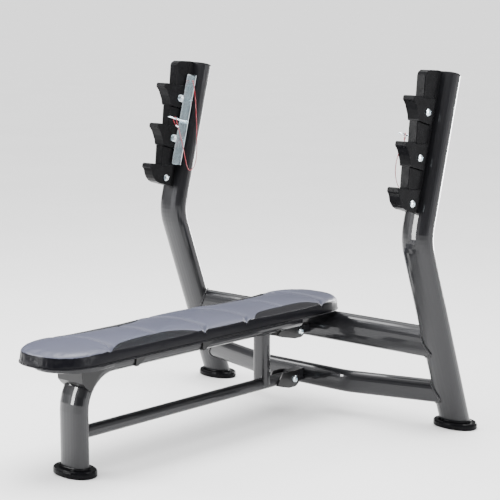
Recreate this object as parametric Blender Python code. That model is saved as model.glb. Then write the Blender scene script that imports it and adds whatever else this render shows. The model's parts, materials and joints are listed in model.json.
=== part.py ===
"""Olympic bench press: a flat padded bench between two bent uprights, each upright carrying a three-hook
bar rack with a pull-out lock pin on a lanyard. Metres, +Z up, +Y towards the rack end,
+X across the bench."""

import math

import bmesh
import bpy
from mathutils import Matrix, Vector

# ---------------------------------------------------------------- overall sizes
OVERALL_LENGTH = 1.540  # foot end of the pad to the back of the rack feet
UPRIGHT_SPACING = 1.181  # centre to centre, so that an Olympic bar's collars clear the racks
UPRIGHT_TOP = 1.280  # height of the upright's centre line at its capped top
PAD_WIDTH = 0.300
PAD_REAR_INSET = 0.102  # head end of the pad, before the back of the rack feet
PAD_TOP = 0.433
PAD_THICKNESS = 0.047
SUPPORT_THICKNESS = 0.016  # rounded plate under the foot end of the pad

# ---------------------------------------------------------------- clearances
GAP = 0.0003  # between pieces that touch or are welded together
HOLE_CLEARANCE = 0.0004  # between a bolt and its hole, on the radius
PIN_CLEARANCE = 0.0005  # between the lock pin and its hole, on the radius

# ---------------------------------------------------------------- oval tubes (half sizes)
UPRIGHT_HALF_WIDTH, UPRIGHT_HALF_DEPTH = 0.059, 0.035
LEG_HALF_WIDTH, LEG_HALF_DEPTH = 0.057, 0.030
POST_HALF_WIDTH, POST_HALF_DEPTH = 0.033, 0.0195
UPPER_BAR_HALF_HEIGHT, UPPER_BAR_HALF_DEPTH = 0.055, 0.028
LOWER_BAR_HALF_HEIGHT, LOWER_BAR_HALF_DEPTH = 0.041, 0.0235
LOWER_RAIL_RADIUS = 0.022
OVAL_POWER = 2.5  # 2 is an ellipse, more is flatter on the wide faces

# ---------------------------------------------------------------- uprights
KNEE_HEIGHT = 0.711
KNEE_SETBACK = 0.2645  # how far the knee stands towards the bench from the foot
TOP_SETBACK = 0.1123
KNEE_BEND_RADIUS = 0.16
CAP_THICKNESS = 0.006

# ---------------------------------------------------------------- feet
FOOT_HALF_WIDTH, FOOT_HALF_DEPTH = 0.086, 0.055
REAR_FOOT_FORWARD = 0.006  # the rack feet stand a little forward, under the lean of the tube
FOOT_THICKNESS = 0.030
FOOT_SOCKET_DEPTH = 0.012

# ---------------------------------------------------------------- bench frame
LEG_INSET = 0.173  # front leg behind the foot end of the pad
LEG_BEND_RADIUS = 0.14
TOP_RAIL_DROP = 0.0045  # top of the rail below the underside of the pad
TOP_RAIL_BACK = 0.232  # rear end of the top rail, before the rack feet
REAR_POST_SETBACK = 0.3985
LOWER_RAIL_Z = 0.1325
LOWER_RAIL_BACK = 0.262
UPPER_BAR_DROP = 0.0265  # middle of the upper crossmember below that of the top rail
LOWER_BAR_RISE = 0.001  # middle of the lower crossmember above that of the lower rail
LOWER_BAR_SETBACK = 0.158  # straight middle of the swept-back lower crossmember
LOWER_BAR_STRAIGHT = 0.210  # half length of that straight middle

# ---------------------------------------------------------------- bolted lugs
EAR_THICKNESS = 0.006
LUG_HALF_WIDTH = 0.018
JOINT_BOLT_RADIUS = 0.006

# ---------------------------------------------------------------- racks
HOOK_PITCH = 0.158
HOOKS = 3
RACK_HALF_WIDTH = 0.024
SPINE_HALF_WIDTH = 0.010
SPINE_FRONT = 0.105  # measured forward from the upright's centre line
RACK_BOLT_FORWARD = 0.092
RACK_BOLT_DROP = 0.158
RACK_BOLT_RADIUS = 0.005
LOCK_PLATE = 0.003
LOCK_FLANGE = 0.024
LOCK_PIN_RADIUS = 0.0032
LOCK_PIN_DROP = 0.243
LANYARD_RADIUS = 0.0014

# ---------------------------------------------------------------- derived positions
REAR_FOOT_Y = OVERALL_LENGTH / 2 - FOOT_HALF_DEPTH + REAR_FOOT_FORWARD
PAD_FRONT_Y = -OVERALL_LENGTH / 2
LEG_Y = PAD_FRONT_Y + LEG_INSET
PAD_BOTTOM = PAD_TOP - PAD_THICKNESS
TOP_RAIL_Z = PAD_BOTTOM - TOP_RAIL_DROP - LEG_HALF_DEPTH
UPPER_BAR_Z = TOP_RAIL_Z - UPPER_BAR_DROP
LOWER_BAR_Z = LOWER_RAIL_Z + LOWER_BAR_RISE
PAD_LENGTH = OVERALL_LENGTH - PAD_REAR_INSET
KNEE_Y = REAR_FOOT_Y - KNEE_SETBACK
TOP_Y = REAR_FOOT_Y - TOP_SETBACK
LOWER_LEAN = math.atan2(KNEE_SETBACK, KNEE_HEIGHT)
UPPER_LEAN = math.atan2(KNEE_SETBACK - TOP_SETBACK, UPRIGHT_TOP - KNEE_HEIGHT)
SIDES = {"left": -1, "right": 1}

for old in list(bpy.data.objects):
    bpy.data.objects.remove(old, do_unlink=True)


# ---------------------------------------------------------------- materials
def material(name, colour, metallic, roughness, coat=0.0):
    made = bpy.data.materials.new(name)
    made.use_nodes = True
    shader = made.node_tree.nodes["Principled BSDF"]
    shader.inputs["Base Color"].default_value = (*colour, 1)
    shader.inputs["Metallic"].default_value = metallic
    shader.inputs["Roughness"].default_value = roughness
    shader.inputs["Coat Weight"].default_value = coat
    return made


FRAME_GREY = material("graphite_powder_coat", (0.055, 0.056, 0.062), 0.55, 0.32, 0.5)
BRACKET_BLACK = material("black_powder_coat", (0.012, 0.012, 0.013), 0.2, 0.38)
LINER_BLACK = material("black_nylon", (0.01, 0.01, 0.011), 0, 0.36)
RUBBER_BLACK = material("black_rubber", (0.01, 0.01, 0.011), 0, 0.3)
ZINC = material("zinc_plate", (0.62, 0.66, 0.7), 1, 0.25)
VINYL = material("blue_grey_vinyl", (0.21, 0.22, 0.29), 0, 0.45)
BOARD = material("black_board", (0.015, 0.015, 0.015), 0, 0.7)
CORD_RED = material("red_vinyl", (0.4, 0.015, 0.025), 0, 0.35)


# ---------------------------------------------------------------- building
def finish(name, mesh, look, smooth=True):
    made = bpy.data.objects.new(name, mesh)
    bpy.context.scene.collection.objects.link(made)
    if look:
        # One material of its own for each piece, as a copy of the shared finish.
        own = look.copy()
        own.name = name + "_finish"
        mesh.materials.append(own)
    if smooth:
        mesh.shade_smooth()
        mesh.set_sharp_from_angle(angle=math.radians(35))
    return made


def from_bmesh(name, bm, look, smooth=True):
    bmesh.ops.recalc_face_normals(bm, faces=bm.faces)
    mesh = bpy.data.meshes.new(name)
    bm.to_mesh(mesh)
    bm.free()
    return finish(name, mesh, look, smooth)


def oval(half_u, half_v, points=32, power=OVAL_POWER):
    """Points round a flattened oval."""
    found = []
    for i in range(points):
        angle = 2 * math.pi * i / points
        c, s = math.cos(angle), math.sin(angle)
        found.append(
            (
                half_u * math.copysign(abs(c) ** (2 / power), c),
                half_v * math.copysign(abs(s) ** (2 / power), s),
            )
        )
    return found


def loft(name, rings, look, smooth=True):
    """A closed body through rings of the same number of points."""
    bm = bmesh.new()
    rows = [[bm.verts.new(p) for p in ring] for ring in rings]
    count = len(rows[0])
    for near, far in zip(rows, rows[1:]):
        for i in range(count):
            j = (i + 1) % count
            bm.faces.new((near[i], near[j], far[j], far[i]))
    bm.faces.new(rows[0][::-1])
    bm.faces.new(rows[-1])
    return from_bmesh(name, bm, look, smooth)


def sweep(name, path, section, across, look, end_planes=(None, None)):
    """A tube along a path: section (u, v) with u along `across`. An end plane (
        point, normal,
    ) trims that end."""
    across = Vector(across)
    path = [Vector(p) for p in path]
    rings = []
    for i, p in enumerate(path):
        before = (path[i] - path[i - 1]).normalized() if i else None
        after = (path[i + 1] - path[i]).normalized() if i + 1 < len(path) else None
        along = ((before or after) + (after or before)).normalized()
        side = (across - along * across.dot(along)).normalized()
        up = along.cross(side)
        # On a bend the ring lies in the plane between the two straight runs.
        stretch = 1 / max(0.5, along.dot(after or before))
        bend = (after - before) if before and after else Vector()
        ring = []
        for u, v in section:
            offset = side * u + up * v
            if bend.length > 1e-6:
                outward = bend.normalized()
                offset += outward * offset.dot(outward) * (stretch - 1)
            ring.append(p + offset)
        for plane, first in zip(end_planes, (True, False)):
            if plane and (i == 0 if first else i == len(path) - 1):
                at, normal = Vector(plane[0]), Vector(plane[1])
                ring = [q + along * ((at - q).dot(normal) / along.dot(normal)) for q in ring]
        rings.append(ring)
    return loft(name, rings, look)


def bent(points, radius, steps=7):
    """A path with its inner corners rounded to a radius."""
    points = [Vector(p) for p in points]
    found = [points[0]]
    for before, at, after in zip(points, points[1:], points[2:]):
        a, b = (before - at).normalized(), (after - at).normalized()
        half = a.angle(b) / 2
        reach = radius / math.tan(half)
        centre = at + (a + b).normalized() * radius / math.sin(half)
        first, last = at + a * reach - centre, at + b * reach - centre
        for i in range(steps + 1):
            found.append(centre + turn(first, last, i / steps))
    return found + [points[-1]]


def turn(first, last, part):
    axis = first.cross(last).normalized()
    return Matrix.Rotation(first.angle(last) * part, 3, axis) @ first


def plate(name, outline, low, high, place, look, bevel=0.0, smooth=True):
    """An outline (u, v) given a thickness from low to high, put in place by a matrix."""
    bm = bmesh.new()
    bottom = [bm.verts.new((u, v, low)) for u, v in outline]
    top = [bm.verts.new((u, v, high)) for u, v in outline]
    count = len(outline)
    bm.faces.new(bottom[::-1])
    bm.faces.new(top)
    for i in range(count):
        j = (i + 1) % count
        bm.faces.new((bottom[i], bottom[j], top[j], top[i]))
    if bevel:
        edges = [e for e in bm.edges if abs(e.verts[0].co.z - e.verts[1].co.z) < 1e-9]
        bmesh.ops.bevel(bm, geom=edges, offset=bevel, segments=2, profile=0.5, affect="EDGES")
    bmesh.ops.transform(bm, matrix=place, verts=bm.verts)
    return from_bmesh(name, bm, look, smooth)


def turned(name, profile, place, look, points=16, smooth=True):
    """A profile (radius, height) turned round the local Z axis."""
    bm = bmesh.new()
    rows = []
    for radius, height in profile:
        if radius < 1e-7:
            rows.append([bm.verts.new((0, 0, height))])
            continue
        rows.append(
            [
                bm.verts.new(
                    (
                        radius * math.cos(2 * math.pi * i / points),
                        radius * math.sin(2 * math.pi * i / points), height,
                    )
                )
                for i in range(points)
            ]
        )
    for near, far in zip(rows, rows[1:]):
        for i in range(points):
            j = (i + 1) % points
            if len(near) == 1:
                bm.faces.new((near[0], far[j], far[i]))
            elif len(far) == 1:
                bm.faces.new((near[i], near[j], far[0]))
            else:
                bm.faces.new((near[i], near[j], far[j], far[i]))
    for row, back in ((rows[0], True), (rows[-1], False)):
        if len(row) > 1:
            bm.faces.new(row[::-1] if back else row)
    bmesh.ops.transform(bm, matrix=place, verts=bm.verts)
    return from_bmesh(name, bm, look, smooth)


def cutter(made):
    made.hide_render = True
    made.display_type = "WIRE"
    made.hide_set(True)
    return made


def cut(made, *tools):
    for tool in tools:
        step = made.modifiers.new("cut_" + tool.name, "BOOLEAN")
        step.operation, step.solver, step.object = "DIFFERENCE", "EXACT", tool
    return made


def join(made, *tools):
    for tool in tools:
        step = made.modifiers.new("join_" + tool.name, "BOOLEAN")
        step.operation, step.solver, step.object = "UNION", "EXACT", tool
    return made


def grown(section_half_u, section_half_v):
    return oval(section_half_u + GAP, section_half_v + GAP)


def axes(origin, x, y, z):
    """A matrix whose local axes are these directions."""
    made = Matrix.Identity(4)
    for column, direction in enumerate((x, y, z)):
        made.col[column] = (*Vector(direction), 0)
    made.col[3] = (*Vector(origin), 1)
    return made


def along_x(x, y, z, way=1):
    """Local Z along +X or -X, local X up the world."""
    if way > 0:
        return axes((x, y, z), (0, 0, 1), (0, -1, 0), (1, 0, 0))
    return axes((x, y, z), (0, 0, 1), (0, 1, 0), (-1, 0, 0))


def arc(centre, radius, start, end, steps):
    return [
        (centre[0] + radius * math.cos(math.radians(start + (end - start) * i / steps)),
         centre[1] + radius * math.sin(math.radians(start + (end - start) * i / steps)))
        for i in range(steps + 1)
    ]


# ---------------------------------------------------------------- uprights, caps and feet
def upright_path(x):
    return bent([(x, REAR_FOOT_Y, 0), (x, KNEE_Y, KNEE_HEIGHT), (x, TOP_Y, UPRIGHT_TOP)], KNEE_BEND_RADIUS)


UP = Vector((0, math.sin(UPPER_LEAN), math.cos(UPPER_LEAN)))  # along the upper part of an upright
FORWARD = Vector((0, -math.cos(UPPER_LEAN), math.sin(UPPER_LEAN)))  # square to it, towards the bench
socket_floor = FOOT_THICKNESS - FOOT_SOCKET_DEPTH


def foot(name, x, y, half_u, half_v, shift_per_metre, forward, look):
    """An oval foot with a raised collar round the tube's socket."""

    def ring(u, v, z):
        return [(x + a, y + b - forward, z) for a, b in oval(u, v, 32, 2.2)]

    def inner(z, more=0.0):
        return [
            (x + a, y + b - shift_per_metre * z, z) for a,
            b in oval(half_u + GAP + more, half_v + GAP + more)
        ]

    top = FOOT_THICKNESS - 0.006
    wide, deep = FOOT_HALF_WIDTH, FOOT_HALF_DEPTH
    rings = [
        ring(wide - 0.003, deep - 0.003, 0),
        ring(wide, deep, 0.003),
        ring(wide, deep, top - 0.008),
        ring(wide - 0.0018, deep - 0.0018, top - 0.0025),
        ring(wide - 0.005, deep - 0.005, top),
        ring(wide - 0.008, deep - 0.008, top - 0.001),
        inner(top - 0.001, 0.0050),
        inner(FOOT_THICKNESS - 0.0015, 0.0045),
        inner(FOOT_THICKNESS, 0.0030),
        inner(FOOT_THICKNESS, 0.0008),
        inner(FOOT_THICKNESS - 0.0008),
        inner(socket_floor),
    ]
    return loft(name, rings, look)


tube_floor = socket_floor + GAP
upright_cutters = {}
for side, sign in SIDES.items():
    x = sign * UPRIGHT_SPACING / 2
    path = upright_path(x)
    section = oval(UPRIGHT_HALF_WIDTH, UPRIGHT_HALF_DEPTH)
    top_at = Vector(path[-1]) - UP * (CAP_THICKNESS + GAP)
    sweep(
        side + "_upright", path, section, (1, 0, 0), FRAME_GREY,
        (((0, 0, tube_floor), (0, 0, 1)), (top_at, UP)),
    )
    tool = sweep(
        side + "_upright_clearance", path, grown(UPRIGHT_HALF_WIDTH, UPRIGHT_HALF_DEPTH), (1, 0, 0),
        None,
    )
    upright_cutters[side] = cutter(tool)
    cap_place = axes(Vector(path[-1]) - UP * CAP_THICKNESS, (1, 0, 0), -FORWARD, UP)
    loft(
        side + "_upright_cap",
        [
            [
                cap_place @ Vector((a, b, h)) for a,
                b in oval(UPRIGHT_HALF_WIDTH - inset, UPRIGHT_HALF_DEPTH - inset)
            ]
            for inset, h in ((0, 0), (0, 0.003), (0.0012, 0.0048), (0.004, CAP_THICKNESS))
        ],
        RUBBER_BLACK,
    )
    stretch = 1 / math.cos(LOWER_LEAN)
    foot(
        side + "_foot", x, REAR_FOOT_Y, UPRIGHT_HALF_WIDTH, UPRIGHT_HALF_DEPTH * stretch,
        math.tan(LOWER_LEAN), REAR_FOOT_FORWARD, RUBBER_BLACK,
    )

# ---------------------------------------------------------------- front leg and top rail, one bent tube
leg_path = bent(
    [
        (0, LEG_Y, tube_floor), (0, LEG_Y, TOP_RAIL_Z), (0, REAR_FOOT_Y - TOP_RAIL_BACK, TOP_RAIL_Z),
    ], LEG_BEND_RADIUS, 9
)
sweep("front_leg_top_rail", leg_path, oval(LEG_HALF_WIDTH, LEG_HALF_DEPTH), (1, 0, 0), FRAME_GREY)
leg_cutter = cutter(
    sweep("leg_clearance", leg_path, grown(LEG_HALF_WIDTH, LEG_HALF_DEPTH), (1, 0, 0), None)
)
foot("front_foot", 0, LEG_Y, LEG_HALF_WIDTH, LEG_HALF_DEPTH, 0, 0, RUBBER_BLACK)

# ---------------------------------------------------------------- lower rail and rear post
lower_rail_end = REAR_FOOT_Y - LOWER_RAIL_BACK
rail_path = [(0, LEG_Y, LOWER_RAIL_Z), (0, lower_rail_end, LOWER_RAIL_Z)]
round_section = oval(LOWER_RAIL_RADIUS, LOWER_RAIL_RADIUS, 28, 2)
cut(sweep("lower_rail", rail_path, round_section, (1, 0, 0), FRAME_GREY), leg_cutter)
rail_cutter = cutter(
    sweep(
        "lower_rail_clearance", rail_path,
        oval(LOWER_RAIL_RADIUS + GAP, LOWER_RAIL_RADIUS + GAP, 28, 2), (1, 0, 0), None,
    )
)
post_y = REAR_FOOT_Y - REAR_POST_SETBACK
cut(
    sweep(
        "rear_support_post",
        [(0, post_y, LOWER_RAIL_Z), (0, post_y, TOP_RAIL_Z)],
        oval(POST_HALF_WIDTH, POST_HALF_DEPTH, 28, 3),
        (1, 0, 0),
        FRAME_GREY,
    ),
    leg_cutter,
    rail_cutter,
)

# ---------------------------------------------------------------- crossmembers
half_span = UPRIGHT_SPACING / 2
upper_bar_y = REAR_FOOT_Y - math.tan(LOWER_LEAN) * UPPER_BAR_Z
upper_section = oval(UPPER_BAR_HALF_DEPTH, UPPER_BAR_HALF_HEIGHT)
upper_path = [(-half_span, upper_bar_y, UPPER_BAR_Z), (half_span, upper_bar_y, UPPER_BAR_Z)]
cut(sweep("upper_crossmember", upper_path, upper_section, (0, 1, 0), FRAME_GREY), *upright_cutters.values())
upper_bar_cutter = cutter(
    sweep(
        "upper_bar_clearance", upper_path, grown(UPPER_BAR_HALF_DEPTH, UPPER_BAR_HALF_HEIGHT),
        (0, 1, 0), None,
    )
)
lower_end_y = REAR_FOOT_Y - math.tan(LOWER_LEAN) * LOWER_BAR_Z
lower_bar_y = REAR_FOOT_Y - LOWER_BAR_SETBACK
lower_path = bent(
    [
        (-half_span, lower_end_y, LOWER_BAR_Z),
        (-LOWER_BAR_STRAIGHT, lower_bar_y, LOWER_BAR_Z),
        (LOWER_BAR_STRAIGHT, lower_bar_y, LOWER_BAR_Z),
        (half_span, lower_end_y, LOWER_BAR_Z),
    ],
    0.20,
    5,
)
cut(
    sweep(
        "lower_crossmember", lower_path, oval(LOWER_BAR_HALF_DEPTH, LOWER_BAR_HALF_HEIGHT), (0, 1, 0),
        FRAME_GREY,
    ),
    *upright_cutters.values(),
)
lower_bar_cutter = cutter(
    sweep(
        "lower_bar_clearance", lower_path, grown(LOWER_BAR_HALF_DEPTH, LOWER_BAR_HALF_HEIGHT),
        (0, 1, 0), None,
    )
)


# ---------------------------------------------------------------- bolts
def bolt_profile(radius, head_radius, head_height, length):
    """A low domed head with a hex-key dimple, then the shank, from the seat at height 0."""
    return [
        (0, -length),
        (radius * 0.82, -length),
        (radius, -length + 0.001),
        (radius, 0),
        (head_radius, 0),
        (head_radius, head_height * 0.25),
        (head_radius * 0.86, head_height * 0.66),
        (head_radius * 0.6, head_height * 0.93),
        (head_radius * 0.42, head_height),
        (head_radius * 0.36, head_height * 0.5),
        (0, head_height * 0.5),
    ]


def nut(name, place, radius, across, height, look):
    """A hexagonal nut with its washer, as one piece, with an open bore."""
    bore = radius + HOLE_CLEARANCE
    washer = height * 0.22
    bm = bmesh.new()
    rows = []
    points = 24
    levels = (
        (bore, 0, False), (across * 0.72, 0, False), (across * 0.72, washer, False),
        (across * 0.5, washer, True),
        (across * 0.5, height * 0.86, True), (across * 0.46, height, True), (bore, height, False),
    )
    for reach, height_at, is_hex in levels:
        row = []
        for i in range(points):
            angle = 2 * math.pi * i / points
            out = reach
            if is_hex:
                out = reach / math.cos((angle % (math.pi / 3)) - math.pi / 6)
            row.append(bm.verts.new((out * math.cos(angle), out * math.sin(angle), height_at)))
        rows.append(row)
    for near, far in zip(rows, rows[1:] + rows[:1]):
        for i in range(points):
            j = (i + 1) % points
            bm.faces.new((near[i], near[j], far[j], far[i]))
    bmesh.ops.transform(bm, matrix=place, verts=bm.verts)
    return from_bmesh(name, bm, look)


# ---------------------------------------------------------------- bolted lugs between rails and
# crossmembers
def bolted_joint(
    prefix, bar_y, bar_cutter, ear_outline, lug_low, lug_high, lug_front, bolt_y, bolt_z, shy_of,
):
    """A lug on the crossmember held between two ears on the rail by one bolt across."""
    lug_reach = [(lug_front, lug_low), (bar_y, lug_low), (bar_y, lug_high), (lug_front, lug_high)]
    flat = axes((0, 0, 0), (0, 1, 0), (0, 0, 1), (1, 0, 0))
    lug = plate(prefix + "_lug", lug_reach, -LUG_HALF_WIDTH, LUG_HALF_WIDTH, flat, FRAME_GREY, 0.002)
    hole = cutter(
        turned(
            prefix + "_joint_hole",
            [(JOINT_BOLT_RADIUS + HOLE_CLEARANCE, -0.05), (JOINT_BOLT_RADIUS + HOLE_CLEARANCE, 0.05)],
            along_x(0, bolt_y, bolt_z),
            None,
        )
    )
    cut(lug, bar_cutter, hole)
    inner = LOWER_RAIL_RADIUS + GAP
    for side, sign in SIDES.items():
        low, high = sorted((sign * inner, sign * (inner + EAR_THICKNESS)))
        ear = plate(prefix + "_ear_" + side, ear_outline, low, high, flat, BRACKET_BLACK, 0.0015)
        cut(ear, hole, *shy_of)
    head = inner + EAR_THICKNESS + GAP
    length = 2 * head + 0.016
    turned(
        prefix + "_joint_bolt",
        bolt_profile(JOINT_BOLT_RADIUS, 0.0135, 0.0085, length),
        along_x(head, bolt_y, bolt_z),
        ZINC,
    )
    nut(prefix + "_joint_nut", along_x(-head, bolt_y, bolt_z, -1), JOINT_BOLT_RADIUS, 0.019, 0.011, ZINC)


def ear_shape(front, bolt, radius, top, nose):
    """A plate outline: a pointed nose at the front low down, round at the back about the bolt."""
    round_end = arc(bolt, radius, -80, 75, 9)
    tip = [(front, nose), (front + 0.028, nose - 0.009), (bolt[0] - 0.030, bolt[1] - radius * 0.985)]
    return tip + round_end + [
        (bolt[0] - 0.020, top), (front + 0.035, top), (front + 0.010, nose + 0.010)
    ]


lower_bolt = (REAR_FOOT_Y - 0.245, LOWER_RAIL_Z - 0.005)
bolted_joint(
    "lower_rail", lower_bar_y, lower_bar_cutter,
    ear_shape(REAR_FOOT_Y - 0.345, lower_bolt, 0.031, LOWER_RAIL_Z + 0.0275, LOWER_RAIL_Z - 0.0155),
    LOWER_RAIL_Z - 0.022, LOWER_RAIL_Z + 0.024, lower_rail_end + 0.001, *lower_bolt, (),
)
upper_bolt = (REAR_FOOT_Y - 0.212, TOP_RAIL_Z - 0.0455)
bolted_joint(
    "top_rail", upper_bar_y, upper_bar_cutter,
    ear_shape(REAR_FOOT_Y - 0.345, upper_bolt, 0.026, TOP_RAIL_Z - 0.0215, TOP_RAIL_Z - 0.0455),
    TOP_RAIL_Z - 0.0615, TOP_RAIL_Z - 0.031, REAR_FOOT_Y - 0.235, *upper_bolt, (leg_cutter,),
)

# ---------------------------------------------------------------- pad supports
seat = PAD_BOTTOM - GAP


def pad_bracket(name, y, length, sink):
    """A plate under the pad, folded down round the top rail as two cheeks that taper towards the front."""
    outer, inner = PAD_WIDTH / 2 - 0.030, LEG_HALF_WIDTH + 0.007
    outline = [
        (-outer, seat - 0.0035), (-outer, seat), (outer, seat), (outer, seat - 0.0035),
        (inner + 0.004, seat - 0.007),
        (inner, seat - 0.014), (inner - 0.004, TOP_RAIL_Z - sink), (-inner + 0.004, TOP_RAIL_Z - sink),
        (-inner, seat - 0.014), (-inner - 0.004, seat - 0.007),
    ]
    made = plate(
        name, outline, -length / 2, length / 2, axes((0, y, 0), (1, 0, 0), (0, 0, 1), (0, 1, 0)),
        BRACKET_BLACK, 0.001,
    )
    low, front, rear = TOP_RAIL_Z - sink - 0.005, y - length * 0.42, y + length / 2 + 0.001
    slope = [(front, low), (rear, seat - 0.014), (rear, low)]
    flat = axes((0, 0, 0), (0, 1, 0), (0, 0, 1), (1, 0, 0))
    wedge = cutter(plate(name + "_taper", slope, -outer, outer, flat, None))
    return cut(made, leg_cutter, wedge)


front_bracket_y = LEG_Y + 0.258
rear_bracket_y = LEG_Y + 0.578
pad_bracket("pad_bracket_front", front_bracket_y, 0.070, 0.022)
pad_bracket("pad_bracket_rear", rear_bracket_y, 0.070, 0.022)

# A rounded support plate under the foot end of the pad, on a saddle over the bend of the tube.
support_y = LEG_Y + 0.020
support_outline = [
    (
        0.128 * math.cos(math.radians(a)), support_y + 0.155 * math.sin(math.radians(a)),
    ) for a in range(180, 361, 10)
]
support_outline += [
    (0.122, support_y + 0.050), (0.085, support_y + 0.078), (-0.085, support_y + 0.078),
    (-0.122, support_y + 0.050),
]
support_top = seat - 0.0045
support = plate(
    "front_support_plate", support_outline, support_top - SUPPORT_THICKNESS, support_top,
    Matrix.Identity(4), FRAME_GREY, 0.0045,
)
cut(support, leg_cutter)
saddle_top = support_top - SUPPORT_THICKNESS - GAP
saddle_half = LEG_HALF_WIDTH + 0.004
saddle_outline = [
    (LEG_Y - 0.020, saddle_top), (LEG_Y + 0.092, saddle_top), (LEG_Y + 0.056, saddle_top - 0.0379),
    (LEG_Y + 0.030, saddle_top - 0.0719), (LEG_Y + 0.021, saddle_top - 0.0869),
    (LEG_Y, saddle_top - 0.0679), (LEG_Y - 0.014, saddle_top - 0.0519),
]
saddle = plate(
    "front_saddle", saddle_outline, -saddle_half, saddle_half, axes(
        (0, 0, 0), (0, 1, 0), (0, 0, 1), (1, 0, 0),
    ), BRACKET_BLACK, 0.001
)
cut(saddle, leg_cutter)


# ---------------------------------------------------------------- pad
def pad_outline(inset, points=12):
    """The pad seen from above: straight sides and ends that round over like a flattened arch."""
    half, reach = PAD_WIDTH / 2 - inset, 0.167 - inset
    first, last = PAD_FRONT_Y + inset, PAD_FRONT_Y + PAD_LENGTH - inset
    found = []
    for centre, way in ((first + reach, -1), (last - reach, 1)):
        for i in range(points + 1):
            angle = math.pi * i / points
            c, s = math.cos(angle), math.sin(angle)
            u = half * math.copysign(abs(c) ** 0.8, c)
            v = reach * abs(s) ** 0.9
            found.append((-u, centre - v) if way < 0 else (u, centre + v))
    return found


def level(inset, z):
    return [(u, v, z) for u, v in pad_outline(inset)]


WRAP = 0.006
BOARD_THICKNESS = 0.012
loft(
    "pad_cushion",
    [
        level(WRAP, PAD_BOTTOM + BOARD_THICKNESS + GAP), level(WRAP, PAD_BOTTOM),
        level(0.001, PAD_BOTTOM), level(0, PAD_BOTTOM + 0.003),
        level(0, PAD_TOP - 0.012), level(0.0025, PAD_TOP - 0.005), level(0.007, PAD_TOP - 0.001),
        level(0.014, PAD_TOP),
    ],
    VINYL,
)
screw_places = [(sx * 0.095, y) for y in (front_bracket_y, rear_bracket_y) for sx in (-1, 1)]
SCREW_RADIUS, SCREW_GRIP = 0.003, 0.010
screw_holes = []
for i, (u, v) in enumerate(screw_places):
    r = SCREW_RADIUS + HOLE_CLEARANCE
    place = Matrix.Translation((u, v, seat))
    screw_holes.append(
        cutter(turned(f"pad_screw_hole_{i + 1}", [(r, -0.02), (r, SCREW_GRIP + 0.0005)], place, None, 12))
    )
board = loft(
    "pad_board",
    [level(WRAP + GAP, PAD_BOTTOM), level(WRAP + GAP, PAD_BOTTOM + BOARD_THICKNESS)],
    BOARD,
)
cut(board, *screw_holes)
for name, pair in (("pad_bracket_front", screw_holes[:2]), ("pad_bracket_rear", screw_holes[2:])):
    cut(bpy.data.objects[name], *pair)
for i, (u, v) in enumerate(screw_places):
    under = seat - 0.0035 - 0.0022
    turned(
        f"pad_screw_{i + 1}",
        bolt_profile(SCREW_RADIUS, 0.0065, 0.0035, SCREW_GRIP + 0.0050),
        axes((u, v, under), (1, 0, 0), (0, -1, 0), (0, 0, -1)),
        ZINC,
        12,
    )


# ---------------------------------------------------------------- racks
def guard_top(k):
    if k == 0:
        return [(0.062, -0.0044), (0.120, -0.0165), (0.131, -0.026), (0.1340, -0.037)]
    return [(0.062, -0.0375), (0.1338, -0.0375)]


BODY_STEP = [(0.060, -0.1020), (0.1155, -0.1122)]
CRADLE = [(0.1216, -0.1168), (0.1255, -0.1186), (0.1300, -0.1150), (0.1350, -0.1120)]
HOOK_TIP = [
    (0.150, -0.1135), (0.1790, -0.1175), (0.1835, -0.1215), (0.1835, -0.1330), (0.1800, -0.1365),
    (0.1720, -0.1370),
]
HOOK_UNDER = [(0.163, -0.1480), (0.151, -0.1610), (0.1425, -0.1760), (0.1365, -0.1900), (0.1352, -0.1952)]
LAST_UNDER = [
    (0.1690, -0.1470), (0.1620, -0.1600), (0.1520, -0.1710), (0.1370, -0.1800), (0.1220, -0.1840),
    (0.060, -0.1840),
]


def lowered(outline, k):
    return [(d, s - HOOK_PITCH * k) for d, s in outline]


def rack_frame(x):
    """Local (forward, up, across) at the top of an upright's centre line."""
    return axes((x, TOP_Y, UPRIGHT_TOP), FORWARD, UP, (1, 0, 0))


def across(place, d, s, x, way):
    """Local Z across the rack, towards +X or -X, at a point of its profile."""
    return place @ axes((d, s, x), (0, 1, 0), (-way, 0, 0), (0, 0, way))


def smooth_path(points, step):
    """A curve through the points, with a point about every step."""
    points = [Vector(p) for p in points]
    padded = [2 * points[0] - points[1]] + points + [2 * points[-1] - points[-2]]
    found = [points[0]]
    for a, b, c, d in zip(padded, padded[1:], padded[2:], padded[3:]):
        count = max(1, round((c - b).length / step))
        for i in range(1, count + 1):
            t = i / count
            found.append(
                0.5 * (
                    2 * b + (c - a) * t + (
                        2 * a - 5 * b + 4 * c - d
                    ) * t * t + (3 * b - a - 3 * c + d) * t ** 3
                )
            )
    return found


def cord(name, points, radius, look):
    curve = bpy.data.curves.new(name, "CURVE")
    curve.dimensions = "3D"
    curve.bevel_depth = radius
    curve.bevel_resolution = 2
    curve.use_fill_caps = True
    line = curve.splines.new("POLY")
    line.points.add(len(points) - 1)
    for place, at in zip(line.points, points):
        place.co = (*at, 1)
    made = bpy.data.objects.new(name, curve)
    bpy.context.scene.collection.objects.link(made)
    own = look.copy()
    own.name = name + "_finish"
    curve.materials.append(own)
    return made


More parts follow.
